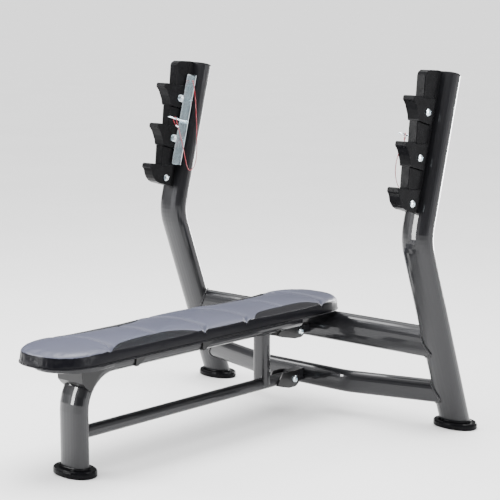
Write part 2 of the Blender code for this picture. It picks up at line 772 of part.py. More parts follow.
# The lanyard's route: (inward from the rack's centre, forward, up), from the hole at the top of the lock
# bracket, hanging beside the upright, back up to a noose round the lock pin.
PIN_INWARD = RACK_HALF_WIDTH + GAP + LOCK_PLATE + LOCK_FLANGE / 2
NOOSE = LOCK_PIN_RADIUS + LANYARD_RADIUS + 0.0011
LANYARD_TOP = [
    (PIN_INWARD, 0.0475, -0.0800), (PIN_INWARD, 0.0560, -0.0800), (PIN_INWARD + 0.008, 0.0610, -0.0850),
    (0.0560, 0.0565, -0.105), (0.0610, 0.0440, -0.150), (0.0640, 0.0260, -0.210), (0.0655, 0.0080, -0.275),
]
LANYARD_HANG = {
    "left": [
        (0.0655, -0.0080, -0.335), (0.0655, -0.0150, -0.380), (0.0665, -0.0070, -0.412),
        (0.0670, 0.0110, -0.426), (0.0665, 0.0290, -0.415), (0.0640, 0.0480, -0.380),
        (0.0590, 0.0680, -0.335), (0.0530, 0.0870, -0.296),
    ],
    "right": [
        (0.0660, -0.0070, -0.330), (0.0665, -0.0130, -0.372), (0.0675, -0.0060, -0.405),
        (0.0685, 0.0120, -0.425), (0.0695, 0.0380, -0.427), (0.0700, 0.0640, -0.412),
        (0.0695, 0.0860, -0.385), (0.0670, 0.0990, -0.352), (0.0625, 0.1040, -0.320),
        (0.0560, 0.1030, -0.292),
    ],
}
LANYARD_NOOSE = [
    (0.0480, 0.1010, -0.268), (PIN_INWARD + NOOSE, 0.1090, -0.2500),
    (PIN_INWARD + NOOSE, 0.1110, -LOCK_PIN_DROP),
    (PIN_INWARD + NOOSE * 0.7, 0.1122, -LOCK_PIN_DROP + NOOSE * 0.72),
    (PIN_INWARD, 0.1135, -LOCK_PIN_DROP + NOOSE * 1.02),
    (PIN_INWARD - NOOSE * 0.7, 0.1148, -LOCK_PIN_DROP + NOOSE * 0.72),
    (PIN_INWARD - NOOSE, 0.1160, -LOCK_PIN_DROP),
    (PIN_INWARD - NOOSE + 0.0005, 0.1150, -0.2500), (PIN_INWARD + 0.001, 0.1110, -0.2620),
    (0.0450, 0.1045, -0.2740),
]

for side, sign in SIDES.items():
    place = rack_frame(sign * UPRIGHT_SPACING / 2)
    wide = RACK_HALF_WIDTH
    holes = []
    for k in range(HOOKS):
        r = RACK_BOLT_RADIUS + HOLE_CLEARANCE
        at = across(place, RACK_BOLT_FORWARD, -RACK_BOLT_DROP - HOOK_PITCH * k, 0, 1)
        holes.append(cutter(turned(f"{side}_rack_hole_{k + 1}", [(r, -0.06), (r, 0.06)], at, None)))

    # The steel spine is welded down the front of the upright and carries the three liners.
    back = UPRIGHT_HALF_DEPTH + GAP
    bottom = -RACK_BOLT_DROP - HOOK_PITCH * (HOOKS - 1) - 0.0245
    spine_outline = [
        (back, -0.001), (0.058, -0.0035), (SPINE_FRONT, -0.0135), (SPINE_FRONT, bottom), (back, bottom),
    ]
    spine = plate(
        side + "_rack_spine", spine_outline, -SPINE_HALF_WIDTH, SPINE_HALF_WIDTH, place, BRACKET_BLACK,
        0.001,
    )
    cut(spine, *holes)

    slot = [
        (0.040, 0.01), (SPINE_FRONT + GAP, 0.01), (SPINE_FRONT + GAP, bottom - 0.02),
        (0.040, bottom - 0.02),
    ]
    slot_cutter = cutter(
        plate(side + "_spine_slot", slot, -SPINE_HALF_WIDTH - GAP, SPINE_HALF_WIDTH + GAP, place, None)
    )
    for k in range(HOOKS):
        last = k == HOOKS - 1
        under = LAST_UNDER if last else HOOK_UNDER + [(0.060, -0.1952)]
        body_outline = lowered(BODY_STEP + CRADLE + HOOK_TIP + under, k)
        liner = plate(f"{side}_hook_liner_{k + 1}", body_outline, -wide, wide, place, LINER_BLACK, 0.0022)
        guard_outline = guard_top(k) + [(0.1184, -0.1290), (0.062, -0.1290)]
        guard = cutter(
            plate(
                f"{side}_guard_{k + 1}", lowered(guard_outline, k), -wide + 0.0045, wide - 0.0045,
                place, LINER_BLACK, 0.004,
            )
        )
        join(liner, guard)
        cut(liner, slot_cutter, holes[k])

    # The lock bracket: a plate on the rack's inner side with two bolted ears and a flange turned inward.
    inward = -sign
    near, far = wide + GAP, wide + GAP + LOCK_PLATE
    low, high = sorted((inward * near, inward * far))
    back_edge, front_edge, ear_radius = 0.050, 0.076, 0.0135
    lock_outline = [(back_edge, -0.058), (front_edge - 0.004, -0.058), (front_edge, -0.062)]
    for k in range(2):
        centre = (RACK_BOLT_FORWARD, -RACK_BOLT_DROP - HOOK_PITCH * k)
        lock_outline += [(front_edge, centre[1] + ear_radius)] + arc(centre, ear_radius, 90, -90, 8)
        lock_outline += [(front_edge, centre[1] - ear_radius)]
    lock_outline += [(front_edge, -0.411), (front_edge - 0.004, -0.415), (back_edge, -0.415)]
    lock = plate(side + "_lock_bracket", lock_outline, low, high, place, ZINC, 0.0, smooth=False)
    flange_low, flange_high = sorted((inward * (near + LOCK_PLATE / 3), inward * (far + LOCK_FLANGE)))
    flange_outline = [
        (flange_low, -0.0585), (flange_high, -0.0585), (flange_high, -0.4145), (flange_low, -0.4145),
    ]
    flange_place = place @ axes((0, 0, 0), (0, 0, 1), (0, 1, 0), (1, 0, 0))
    flange = cutter(
        plate(
            side + "_lock_flange", flange_outline, back_edge + 0.0004, back_edge + LOCK_PLATE,
            flange_place, None,
        )
    )
    join(lock, flange)
    pin_x = inward * (far + LOCK_FLANGE / 2)
    forward_at = [
        place @ axes(
            (0, s, pin_x), (0, 1, 0), (0, 0, 1), (1, 0, 0),
        ) for s in (-0.080, -0.400, -LOCK_PIN_DROP)
    ]
    small = LANYARD_RADIUS + 0.0012
    flange_holes = [
        cutter(turned(f"{side}_flange_hole_{i + 1}", [(r, 0.03), (r, 0.07)], at, None, 12))
        for i, (at, r) in enumerate(zip(forward_at, (small, small, LOCK_PIN_RADIUS + PIN_CLEARANCE)))
    ]
    cut(lock, *flange_holes, *holes[:2])

    # Bolts from the outer side, nuts on the inner side.
    for k in range(HOOKS):
        s = -RACK_BOLT_DROP - HOOK_PITCH * k
        seat_in = (far if k < 2 else wide) + GAP
        head_at = across(place, RACK_BOLT_FORWARD, s, sign * (wide + GAP), sign)
        turned(
            f"{side}_rack_bolt_{k + 1}",
            bolt_profile(RACK_BOLT_RADIUS, 0.0130, 0.0070, wide + GAP + seat_in + 0.0125),
            head_at,
            ZINC,
        )
        nut(
            f"{side}_rack_nut_{k + 1}", across(place, RACK_BOLT_FORWARD, s, -sign * seat_in, -sign),
            RACK_BOLT_RADIUS, 0.017, 0.0095, ZINC,
        )

    # The lock pin: its origin lies on its own axis, at the flange.
    pin_origin = place @ Vector((back_edge + LOCK_PLATE, -LOCK_PIN_DROP, pin_x))
    start, end = -0.0150, 0.0760
    r = LOCK_PIN_RADIUS
    profile = [
        (0, start), (r * 0.6, start), (r, start + 0.002), (r, 0.0020), (r + 0.0022, 0.0022),
        (r + 0.0022, 0.0052),
        (r, 0.0054), (r, end), (0, end),
    ]
    pin = turned(side + "_lock_pin", profile, axes((0, 0, 0), UP, (1, 0, 0), FORWARD), ZINC, 14)
    ring_radius, ring_wire = 0.0105, 0.0016
    bm = bmesh.new()
    rows = []
    for i in range(20):
        a = 2 * math.pi * i / 20
        out = FORWARD * math.cos(a) + Vector((1, 0, 0)) * math.sin(a)
        centre = FORWARD * (end + ring_radius - 0.0015) + out * ring_radius
        rows.append(
            [
                bm.verts.new(
                    centre + out * ring_wire * math.cos(b) + UP * ring_wire * math.sin(b)
                ) for b in [math.pi / 4 * j for j in range(8)]
            ]
        )
    for i, row in enumerate(rows):
        after = rows[(i + 1) % 20]
        for j in range(8):
            bm.faces.new((row[j], row[(j + 1) % 8], after[(j + 1) % 8], after[j]))
    ring = cutter(from_bmesh(side + "_pin_ring", bm, None))
    join(pin, ring)
    pin.location = pin_origin
    ring.location = pin_origin

    places = LANYARD_TOP + LANYARD_HANG[side] + LANYARD_NOOSE
    route = [place @ Vector((d, s, inward * x)) for x, d, s in places]
    cord(side + "_lanyard", smooth_path(route, 0.0105), LANYARD_RADIUS, CORD_RED)
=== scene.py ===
import json
import math
import random

import bmesh
import bpy
import numpy as np
from mathutils import Matrix, Vector
from mathutils.bvhtree import BVHTree
from mathutils.noise import noise


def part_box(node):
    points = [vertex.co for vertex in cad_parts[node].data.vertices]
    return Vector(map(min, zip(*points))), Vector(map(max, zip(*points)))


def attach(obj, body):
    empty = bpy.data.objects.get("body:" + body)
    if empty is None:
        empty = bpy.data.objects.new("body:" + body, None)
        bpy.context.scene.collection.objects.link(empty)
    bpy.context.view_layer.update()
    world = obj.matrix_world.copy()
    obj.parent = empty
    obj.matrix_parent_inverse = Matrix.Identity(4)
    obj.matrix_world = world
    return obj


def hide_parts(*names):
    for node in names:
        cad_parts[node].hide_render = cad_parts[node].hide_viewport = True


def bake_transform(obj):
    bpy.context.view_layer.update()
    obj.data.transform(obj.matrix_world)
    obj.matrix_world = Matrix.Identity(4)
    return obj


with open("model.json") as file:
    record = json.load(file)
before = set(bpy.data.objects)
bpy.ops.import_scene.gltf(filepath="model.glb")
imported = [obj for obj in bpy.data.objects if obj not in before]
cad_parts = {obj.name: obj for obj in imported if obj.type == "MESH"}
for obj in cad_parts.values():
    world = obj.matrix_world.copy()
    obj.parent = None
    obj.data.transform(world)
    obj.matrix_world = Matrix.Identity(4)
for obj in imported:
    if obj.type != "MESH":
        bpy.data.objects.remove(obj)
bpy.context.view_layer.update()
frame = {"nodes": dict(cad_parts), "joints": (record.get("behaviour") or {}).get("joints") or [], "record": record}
random.seed(7)
nodes = frame["nodes"]
BENCH = "bench"
SIDES = {"left": -1, "right": 1}


# ---------------------------------------------------------------- camera, floor and light
def look_at(place, target):
    return (Vector(target) - Vector(place)).to_track_quat("-Z", "Y").to_euler()


camera = bpy.data.objects.new("camera", bpy.data.cameras.new("camera"))
bpy.context.scene.collection.objects.link(camera)
camera.data.lens = 112.82
camera.data.sensor_width = 36
camera.data.clip_end = 50000
camera.location = (3.7275, -3.8896, 1.5329)
camera.rotation_euler = (math.radians(90 - 9.109), 0, math.radians(41.95))
bpy.context.scene.camera = camera

world = bpy.data.worlds.new("studio")
bpy.context.scene.world = world
world.use_nodes = True


def studio_world(tree, sideways, dark, strength):
    """Bright overhead and to both sides, dim in front and behind, so that tubes have light edges."""
    place = tree.nodes.new("ShaderNodeTexCoord").outputs["Generated"]
    brightness = None
    for direction, low, high, most in ((sideways, 0.80, 1.00, 0.34), ((0, 0, 1), 0.30, 0.90, 1.0)):
        dot = tree.nodes.new("ShaderNodeVectorMath")
        dot.operation = "DOT_PRODUCT"
        dot.inputs[1].default_value = direction
        tree.links.new(place, dot.inputs[0])
        size = tree.nodes.new("ShaderNodeMath")
        size.operation = "ABSOLUTE"
        tree.links.new(dot.outputs["Value"], size.inputs[0])
        ramp = tree.nodes.new("ShaderNodeMapRange")
        ramp.interpolation_type = "SMOOTHSTEP"
        for key, number in (("From Min", low), ("From Max", high), ("To Min", dark), ("To Max", most)):
            ramp.inputs[key].default_value = number
        tree.links.new(size.outputs["Value"], ramp.inputs["Value"])
        if brightness is None:
            brightness = ramp.outputs["Result"]
        else:
            larger = tree.nodes.new("ShaderNodeMath")
            larger.operation = "MAXIMUM"
            tree.links.new(brightness, larger.inputs[0])
            tree.links.new(ramp.outputs["Result"], larger.inputs[1])
            brightness = larger.outputs["Value"]
    background = tree.nodes["Background"]
    tree.links.new(brightness, background.inputs["Color"])
    background.inputs["Strength"].default_value = strength


studio_world(world.node_tree, (0.744, 0.668, 0), 0.05, 3.4)


def softbox(name, place, target, size, power, colour=(1, 1, 1)):
    light = bpy.data.lights.new(name, "AREA")
    light.shape, light.size, light.size_y = "RECTANGLE", *size
    light.energy, light.color = power, colour
    made = bpy.data.objects.new(name, light)
    bpy.context.scene.collection.objects.link(made)
    made.location, made.rotation_euler = place, look_at(place, target)
    made.visible_camera = False
    return made


softbox("key_softbox", (-3.2, -2.4, 3.2), (0, 0, 0.6), (1.6, 1.6), 150)
softbox("top_softbox", (0.2, 0.0, 4.4), (0, 0, 0.2), (3.0, 3.0), 400)
# Tall banks give the tubes their thin bright lines.
banks = [
    softbox("rear_bank", (-0.1, 4.1, 1.4), (0.3, 0, 0.8), (0.8, 2.8), 290),
    softbox("front_bank", (-2.2, -3.9, 1.5), (0, 0, 0.8), (0.35, 2.6), 170),
    softbox("right_bank", (4.3, 0.4, 1.6), (0, 0, 0.8), (0.25, 2.6), 140),
]

bpy.ops.mesh.primitive_plane_add(size=20000, location=(0, 0, -0.0005))
floor = bpy.context.object
floor.name = "floor"
# The banks light the object only, so that they leave no edge of light on the floor.
for bank in banks:
    off_floor = bpy.data.collections.new(bank.name + "_off_floor")
    off_floor.objects.link(floor)
    off_floor.collection_objects[0].light_linking.link_state = "EXCLUDE"
    bank.light_linking.receiver_collection = off_floor


# ---------------------------------------------------------------- materials
class Finish:
    """A Principled material built up from small procedural steps."""

    def __init__(self, name, colour, metallic=0.0, roughness=0.4, **more):
        self.material = bpy.data.materials.new(name)
        self.material.use_nodes = True
        self.tree = self.material.node_tree
        self.shader = self.tree.nodes["Principled BSDF"]
        self.colour = colour
        values = {"Base Color": (*colour, 1), "Metallic": metallic, "Roughness": roughness, **more}
        for key, value in values.items():
            self.shader.inputs[key].default_value = value
        self.place = self.tree.nodes.new("ShaderNodeTexCoord").outputs["Object"]
        self.normal = None

    def node(self, kind, **values):
        made = self.tree.nodes.new(kind)
        for key, value in values.items():
            if key in made.inputs:
                made.inputs[key].default_value = value
            else:
                setattr(made, key, value)
        return made

    def link(self, out, into):
        self.tree.links.new(out, into)

    def noise(self, scale, detail=3.0, rough=0.55, stretch=(1, 1, 1)):
        mapping = self.node("ShaderNodeMapping", Scale=stretch)
        self.link(self.place, mapping.inputs["Vector"])
        made = self.node("ShaderNodeTexNoise", Scale=scale, Detail=detail, Roughness=rough)
        self.link(mapping.outputs["Vector"], made.inputs["Vector"])
        return made.outputs["Fac"]

    def cells(self, scale, feature="F1"):
        made = self.node("ShaderNodeTexVoronoi", feature=feature, Scale=scale)
        self.link(self.place, made.inputs["Vector"])
        return made.outputs["Distance"]

    def ramp(self, value, low, high, out_low, out_high):
        made = self.node("ShaderNodeMapRange")
        for key, number in (("From Min", low), ("From Max", high), ("To Min", out_low), ("To Max", out_high)):
            made.inputs[key].default_value = number
        self.link(value, made.inputs["Value"])
        return made.outputs["Result"]

    def tint(self, value, first, second):
        """Base colour that runs from one colour to another with a value from 0 to 1."""
        mix = self.node("ShaderNodeMix", data_type="RGBA")
        mix.inputs[6].default_value, mix.inputs[7].default_value = (*first, 1), (*second, 1)
        self.link(value, mix.inputs[0])
        self.link(mix.outputs[2], self.shader.inputs["Base Color"])
        return self

    def vary(self, key, value):
        self.link(value, self.shader.inputs[key])
        return self

    def bump(self, value, strength, distance):
        made = self.node("ShaderNodeBump", Strength=strength, Distance=distance)
        self.link(value, made.inputs["Height"])
        if self.normal:
            self.link(self.normal, made.inputs["Normal"])
        self.normal = made.outputs["Normal"]
        self.link(self.normal, self.shader.inputs["Normal"])
        return self


def shade(colour, factor):
    return tuple(min(1.0, c * factor) for c in colour)


def powder_coat(name, colour, metallic, roughness, coat):
    """Sprayed powder: faint metal flake, a slight orange peel and softly uneven gloss."""
    sheen = {"Coat Weight": coat, "Coat Roughness": 0.07, "Specular IOR Level": 0.25}
    made = Finish(name, colour, metallic, roughness, **sheen)
    flake = made.noise(2600, 1, 0.5)
    made.tint(made.ramp(flake, 0.35, 0.7, 0, 1), shade(colour, 0.82), shade(colour, 1.3))
    made.vary("Roughness", made.ramp(made.noise(5, 1), 0.3, 0.7, roughness - 0.02, roughness + 0.03))
    made.bump(made.noise(260, 1), 0.03, 0.0004)
    return made.material


def moulded(name, colour, roughness, grain=900):
    """Moulded plastic or rubber with a fine texture and a few duller patches."""
    made = Finish(name, colour, 0, roughness, **{"Specular IOR Level": 0.06})
    made.tint(made.ramp(made.noise(38, 5), 0.35, 0.7, 0, 1), shade(colour, 0.85), shade(colour, 1.5))
    made.vary("Roughness", made.ramp(made.noise(26, 4), 0.3, 0.7, roughness - 0.05, roughness + 0.10))
    made.bump(made.noise(grain, 2), 0.16, 0.0004)
    return made.material


def zinc_plate(name):
    """Bright zinc: a bluish passivated sheen in faint blotches, with fine rolling marks."""
    made = Finish(name, (0.62, 0.68, 0.72), 1, 0.24)
    made.tint(made.ramp(made.noise(40, 2), 0.3, 0.7, 0, 1), (0.74, 0.84, 0.89), (0.80, 0.87, 0.91))
    made.vary("Roughness", made.ramp(made.noise(60, 2), 0.3, 0.7, 0.20, 0.26))
    made.bump(made.noise(300, 2, 0.5, (1, 1, 12)), 0.02, 0.0002)
    return made.material


def vinyl(name, colour, roughness, shine, grain_scale=620):
    """Upholstery vinyl: a leather-like pebble grain, finer pores and a soft random tonal drift, plus painted shade
    that darkens the colour towards the head end (+y) and lightens it towards the foot end.
    """
    made = Finish(name, colour, 0, roughness, **{"Specular IOR Level": shine})
    drift = made.ramp(made.noise(6, 4), 0.3, 0.7, 0, 1)
    # Painted shade: a ramp along y makes the colour darker towards the head end and lighter towards the foot end.
    # It is added to the random tonal drift.
    along = made.node("ShaderNodeSeparateXYZ")
    made.link(made.place, along.inputs["Vector"])
    tone_drift_and_painted_shade = made.node("ShaderNodeMath", operation="MULTIPLY_ADD")
    made.link(drift, tone_drift_and_painted_shade.inputs[0])
    tone_drift_and_painted_shade.inputs[1].default_value = 0.3
    made.link(made.ramp(along.outputs["Y"], 0.7, -0.8, 0.0, 0.7), tone_drift_and_painted_shade.inputs[2])
    made.tint(tone_drift_and_painted_shade.outputs["Value"], shade(colour, 0.72), shade(colour, 1.12))
    pebble = made.cells(grain_scale, "F1")
    made.vary("Roughness", made.ramp(pebble, 0.0, 0.8, roughness + 0.06, roughness - 0.04))
    made.bump(pebble, 0.20, 0.0005)
    made.bump(made.noise(1500, 2), 0.08, 0.0003)
    return made.material


def coated_cord(name):
    """Red vinyl over a laid core: a faint helix shows through."""
    made = Finish(name, (0.25, 0.003, 0.012), 0, 0.3, **{"Coat Weight": 0.3})
    made.tint(made.ramp(made.noise(300, 3), 0.35, 0.7, 0, 1), (0.20, 0.002, 0.009), (0.31, 0.006, 0.018))
    made.bump(made.noise(1100, 1), 0.2, 0.0004)
    return made.material


def painted_board(name):
    made = Finish(name, (0.014, 0.014, 0.014), 0, 0.62)
    strokes = made.ramp(made.noise(12, 5, 0.6, (8, 1, 8)), 0.3, 0.7, 0, 1)
    made.tint(strokes, (0.010, 0.010, 0.010), (0.024, 0.022, 0.020))
    made.bump(made.noise(40, 5, 0.6, (9, 1, 9)), 0.2, 0.0006)
    return made.material


def pale_floor(name):
    made = Finish(name, (0.86, 0.86, 0.86), 0, 0.55)
    made.tint(made.ramp(made.noise(1.2, 3), 0.3, 0.7, 0, 1), (0.85, 0.85, 0.85), (0.88, 0.88, 0.88))
    return made.material


GRAPHITE = powder_coat("graphite_powder_coat", (0.0095, 0.0096, 0.0112), 0.40, 0.30, 0.48)
BLACK_PAINT = powder_coat("black_powder_coat", (0.004, 0.004, 0.0045), 0.0, 0.30, 0.12)
NYLON = moulded("black_nylon", (0.0035, 0.0035, 0.004), 0.26)
RUBBER = moulded("foot_rubber", (0.003, 0.003, 0.0035), 0.14, 600)
CAP_PLASTIC = moulded("cap_plastic", (0.012, 0.012, 0.013), 0.4)
ZINC = zinc_plate("bright_zinc")
BLUE_VINYL = vinyl("blue_grey_vinyl", (0.047, 0.050, 0.074), 0.36, 0.35)
BLACK_VINYL = vinyl("black_vinyl", (0.003, 0.003, 0.0045), 0.34, 0.1)
CORD_RED = coated_cord("red_vinyl_cord")
BOARD = painted_board("painted_board")
floor.data.materials.append(pale_floor("pale_floor"))

BY_SLOT = {
    "frame_paint": GRAPHITE,
    "bracket_paint": BLACK_PAINT,
    "liner_nylon": NYLON,
    "foot_rubber": RUBBER,
    "cap_plastic": CAP_PLASTIC,
    "zinc_steel": ZINC,
    "pad_vinyl": BLUE_VINYL,
    "pad_board": BOARD,
    "lanyard_vinyl": CORD_RED,
}
for subpart in frame["record"]["subparts"]:
    mesh = nodes[subpart["node"]].data
    mesh.materials.clear()
    mesh.materials.append(BY_SLOT[subpart["material_slot"]])


# ---------------------------------------------------------------- mesh helpers
def piece(name, bm, material, body=BENCH, smooth=60):
    """A finished mesh that rides on a body."""
    mesh = bpy.data.meshes.new(name)
    bm.to_mesh(mesh)
    bm.free()
    mesh.materials.append(material)
    mesh.shade_smooth()
    mesh.set_sharp_from_angle(angle=math.radians(smooth))
    made = bpy.data.objects.new(name, mesh)
    bpy.context.scene.collection.objects.link(made)
    if body:
        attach(made, body)
    return made


def welded_mesh(node):
    """The node's mesh with its shading seams closed, for measuring."""
    bm = bmesh.new()
    bm.from_mesh(nodes[node].data)
    bmesh.ops.remove_doubles(bm, verts=bm.verts, dist=1e-5)
    return bm


def surface(node):
    bm = welded_mesh(node)
    tree = BVHTree.FromBMesh(bm)
    bm.free()
    return tree


def edge_loops(node, least_angle=0.7):
    """The closed sharp loops of a node, such as the mouth of a tube, as lists of points."""
    bm = welded_mesh(node)
    sharp = {e for e in bm.edges if len(e.link_faces) == 2 and e.calc_face_angle(0) > least_angle}
    loops = []
    while sharp:
        edge = sharp.pop()
        start, at = edge.verts
        loop = [start.co.copy(), at.co.copy()]
        while at != start:
            after = next((e for e in at.link_edges if e in sharp), None)
            if after is None:
                break
            sharp.remove(after)
            at = after.other_vert(at)
            loop.append(at.co.copy())
        if at == start:
            loops.append(loop[:-1])
    bm.free()
    return loops


def resample(points, step, closed=True):
    """The same line with evenly spaced points."""
    points = [Vector(p) for p in points]
    if closed:
        points.append(points[0])
    lengths = [(b - a).length for a, b in zip(points, points[1:])]
    total = sum(lengths)
    count = max(3, round(total / step))
    found, i, gone = [], 0, 0.0
    for k in range(count if closed else count + 1):
        want = total * k / count
        while i < len(lengths) - 1 and gone + lengths[i] < want:
            gone += lengths[i]
            i += 1
        part = (want - gone) / lengths[i] if lengths[i] else 0
        found.append(points[i].lerp(points[i + 1], min(1, part)))
    return found


def tube(bm, points, radius_at, closed=False, sides=8):
    """Adds a tube along points to a mesh; radius_at(i) is its radius at a point."""
    count = len(points)
    rows, side = [], None
    for i, p in enumerate(points):
        before = points[i - 1] if i or closed else p
        after = points[(i + 1) % count] if i + 1 < count or closed else p
        along = (after - before).normalized()
        if side is None:
            side = along.orthogonal().normalized()
        side = (side - along * along.dot(side)).normalized()
        up = along.cross(side)
        r = radius_at(i)
        rows.append(
            [
                bm.verts.new(p + (side * math.cos(a) + up * math.sin(a)) * r)
                for a in (2 * math.pi * j / sides for j in range(sides))
            ]
        )
    if closed:
        # Start the last join where the frame has turned to, so that it doesn't twist.
        shift = min(range(sides), key=lambda s: (rows[0][s].co - rows[-1][0].co).length)
        ends = rows[0][shift:] + rows[0][:shift]
        pairs = list(zip(rows, rows[1:])) + [(rows[-1], ends)]
    else:
        pairs = list(zip(rows, rows[1:]))
    for near, far in pairs:
        for j in range(sides):
            k = (j + 1) % sides
            bm.faces.new((near[j], near[k], far[k], far[j]))
    if not closed:
        bm.faces.new(rows[0][::-1])
        bm.faces.new(rows[-1])
    bmesh.ops.recalc_face_normals(bm, faces=bm.faces)


def weld_bead(name, line, radius=0.0042, closed=True):
    """A painted weld: a bead of overlapping ripples along a joint."""
    points = resample(line, 0.0022, closed)
    offset = random.uniform(0, 50)
    bm = bmesh.new()

    def ripple(i):
        return radius * (1 + 0.10 * math.sin(i * 1.6) + 0.22 * noise(Vector((offset + i * 0.23, 0, 0))))

    tube(bm, points, ripple, closed)
    return piece(name, bm, GRAPHITE)


def nearest_loop(node, place, least_angle=0.7):
    place = Vector(place)
    loops = edge_loops(node, least_angle)
    return min(loops, key=lambda loop: min((p - place).length for p in loop))


def middle(node):
    low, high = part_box(node)
    return (Vector(low) + Vector(high)) / 2


# ---------------------------------------------------------------- welds
CROSSMEMBER_BEAD, POST_BEAD = 0.005, 0.004  # radii of the beads

for bar in ("upper_crossmember", "lower_crossmember"):
    low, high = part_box(bar)
    for side, x in (("left", low[0]), ("right", high[0])):
        loop = nearest_loop(bar, (x, middle(bar).y, middle(bar).z))
        weld_bead(f"{bar}_weld_{side}", loop, CROSSMEMBER_BEAD)
post_low, post_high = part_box("rear_support_post")
for end, z in (("top", post_high[2]), ("bottom", post_low[2])):
    loop = nearest_loop("rear_support_post", (0, middle("rear_support_post").y, z))
    weld_bead(f"rear_post_weld_{end}", loop, POST_BEAD)
rail_low, rail_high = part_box("lower_rail")
loop = nearest_loop("lower_rail", (0, rail_low[1], middle("lower_rail").z))
weld_bead("lower_rail_weld_front", loop, POST_BEAD)


# ---------------------------------------------------------------- cushion
PAD_LOW, PAD_HIGH = (Vector(v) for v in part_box("pad_cushion"))
PAD_HALF = PAD_HIGH.x
PAD_REACH = 0.167
PAD_TOP, PAD_BOTTOM = PAD_HIGH.z, PAD_LOW.z
BOARD_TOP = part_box("pad_board")[1][2]
SEAM_PLACES = (-0.529, -0.309, -0.099, 0.111, 0.321, 0.521)
SEAM_BOW, SEAM_SWEEP = 0.012, 0.022
VALLEY_DEPTH, STITCH_DEPTH = 0.0034, 0.0048
PUFF_LIMIT = 0.0045  # how far the padding may swell
BOARD_INSET = 0.006
PIPING_RADIUS = 0.0021
CROWN = 0.0105  # how far the middle of the pad stands above its edges
SCOOP_EDGES = (
    (
        (-0.579, 0.152), (-0.556, 0.14), (-0.531, 0.126), (-0.492, 0.105), (-0.454, 0.096),
        (-0.396, 0.09), (-0.327, 0.087), (-0.276, 0.0885), (-0.244, 0.094), (-0.217, 0.105),
        (-0.199, 0.114), (-0.181, 0.13), (-0.166, 0.143), (-0.158, 0.152),
    ),
    (
        (0.106, 0.152), (0.128, 0.139), (0.152, 0.121), (0.178, 0.106), (0.2065, 0.0985),
        (0.2555, 0.0945), (0.354, 0.092), (0.4145, 0.0945), (0.4355, 0.0985), (0.455, 0.109),
        (0.47, 0.127), (0.482, 0.143), (0.489, 0.152),
    ),
)


def between(a, b, c, d, t):
    """The point at t, from 0 to 1, of the smooth curve from b to c."""
    bend = (2 * a - 5 * b + 4 * c - d) * t * t
    return 0.5 * (2 * b + (c - a) * t + bend + (3 * b - a - 3 * c + d) * t**3)


def smooth_curve(points, count):
    """Points along a curve that passes through each of the given ones."""
    points = [Vector(p) for p in points]
    row = [2 * points[0] - points[1], *points, 2 * points[-1] - points[-2]]
    found = []
    for a, b, c, d in zip(row, row[1:], row[2:], row[3:]):
        for i in range(count):
            found.append(between(a, b, c, d, i / count))
    return [*found, points[-1]]


SCOOP_LINES = [np.array([tuple(p) for p in smooth_curve(edge, 12)]) for edge in SCOOP_EDGES]


def pad_inset(points, outline=0.0):
    """How far each point lies inside the pad's outline, seen from above."""
    half, reach = PAD_HALF - outline, PAD_REACH - outline
    straight_low, straight_high = PAD_LOW.y + PAD_REACH, PAD_HIGH.y - PAD_REACH
    beyond = np.maximum(np.maximum(straight_low - points[:, 1], points[:, 1] - straight_high), 0)
    size = (np.abs(points[:, 0]) / half) ** 2.5 + (beyond / reach) ** 2.22
    return half * (1 - size**0.415)


def scoop_depth(points):
    """How far each point lies outside the blue top, within a side scoop; negative on the blue."""
    across = np.abs(points[:, 0])
    deepest = np.full(len(points), -1.0)
    for line in SCOOP_LINES:
        edge = np.interp(points[:, 1], line[:, 0], line[:, 1], left=1, right=1)
        slope = np.gradient(line[:, 1], line[:, 0])
        steep = np.interp(points[:, 1], line[:, 0], slope)
        deepest = np.maximum(deepest, (across - edge) / np.sqrt(1 + steep**2))
    return deepest


def crown(points):
    """How far the padded surface stands above the edges of the pad."""
    half, reach = PAD_HALF, PAD_REACH
    beyond = np.maximum(np.maximum(PAD_LOW.y + reach - points[:, 1], points[:, 1] - PAD_HIGH.y + reach), 0)
    size = (np.abs(points[:, 0]) / half) ** 2 + (beyond / reach) ** 2
    return CROWN * np.clip(1 - size, 0, 1)


def seam_distance(points):
    """Signed distance to the nearest cross seam."""
    across = np.abs(points[:, 0])
    bend = SEAM_BOW * (across / PAD_HALF) ** 2 + SEAM_SWEEP * soft_step((across - 0.105) / 0.045)
    gaps = np.stack([points[:, 1] - (y - bend) for y in SEAM_PLACES])
    return np.take_along_axis(gaps, np.abs(gaps).argmin(0)[None], 0)[0]


def soft_step(value):
    t = np.clip(value, 0, 1)
    return t * t * (3 - 2 * t)


def coordinates(mesh):
    found = np.empty(len(mesh.vertices) * 3, np.float32)
    mesh.vertices.foreach_get("co", found)
    return found.reshape(-1, 3).astype(np.float64)


def set_coordinates(mesh, points):
    mesh.vertices.foreach_set("co", points.astype(np.float32).ravel())
    mesh.update()


def pad_outline(inset, count=64):
    found = []
    for centre, way in ((PAD_LOW.y + PAD_REACH, -1), (PAD_HIGH.y - PAD_REACH, 1)):
        for i in range(count + 1):
            angle = math.pi * i / count
            c, s = math.cos(angle), math.sin(angle)
            across = (PAD_HALF - inset) * math.copysign(abs(c) ** 0.8, c)
            along = (PAD_REACH - inset) * abs(s) ** 0.9
            found.append((-across, centre - along) if way < 0 else (across, centre + along))
    return found


def lofted(levels):
    """A closed mesh through outlines at rising heights."""
    bm = bmesh.new()
    rows = [[bm.verts.new((x, y, z)) for x, y in pad_outline(inset)] for inset, z in levels]
    for low, high in zip(rows, rows[1:]):
        for i in range(len(low)):
            j = (i + 1) % len(low)
            bm.faces.new((low[i], low[j], high[j], high[i]))
    bm.faces.new(rows[0][::-1])
    bm.faces.new(rows[-1])
    bmesh.ops.recalc_face_normals(bm, faces=bm.faces)
    return bm


def apply_modifiers(made):
    graph = bpy.context.evaluated_depsgraph_get()
    mesh = bpy.data.meshes.new_from_object(made.evaluated_get(graph))
    old, made.data = made.data, mesh
    made.modifiers.clear()
    bpy.data.meshes.remove(old)


